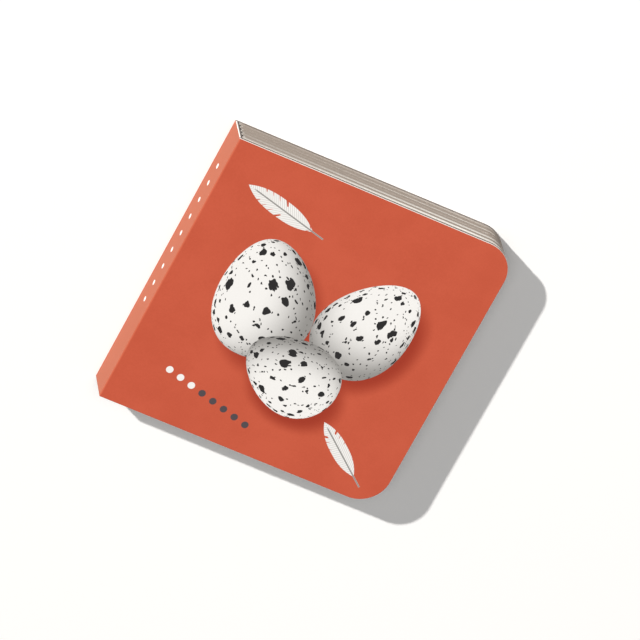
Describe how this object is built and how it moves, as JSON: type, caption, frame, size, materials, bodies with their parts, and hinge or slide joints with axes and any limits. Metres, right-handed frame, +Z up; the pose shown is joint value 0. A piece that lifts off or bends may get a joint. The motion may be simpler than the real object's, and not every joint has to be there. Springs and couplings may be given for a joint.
{
  "type": "board book",
  "caption": "Square children's board book with thick folded board pages, a wrapped card cover, rounded fore-edge corners and covers that open flat.",
  "frame": {"origin": "middle of the underside of the closed book, which lies on its back cover", "axes": "+Z up out of the front cover, +X from the spine to the fore-edge, +Y from the tail to the head"},
  "size_m": [0.14, 0.14, 0.0208],
  "materials": {
    "cover_card": "coral orange print under a satin laminate",
    "page_board": "white coated board with a bare grey-beige cut edge"
  },
  "bodies": {
    "book_block": {"page_block": "page_board", "spine": "cover_card"},
    "front": {"front_cover": "cover_card", "front_lining": "page_board"},
    "back": {"back_cover": "cover_card", "back_lining": "page_board"}
  },
  "joints": [
    {"name": "front_cover_hinge", "type": "hinge", "parent": "book_block", "child": "front", "pos_m": [-0.07, 0, 0.01802], "axis": [0, -1, 0], "range_deg": [0, 180]},
    {"name": "back_cover_hinge", "type": "hinge", "parent": "book_block", "child": "back", "pos_m": [-0.07, 0, 0.0015], "axis": [0, 1, 0], "range_deg": [0, 180]}
  ]
}
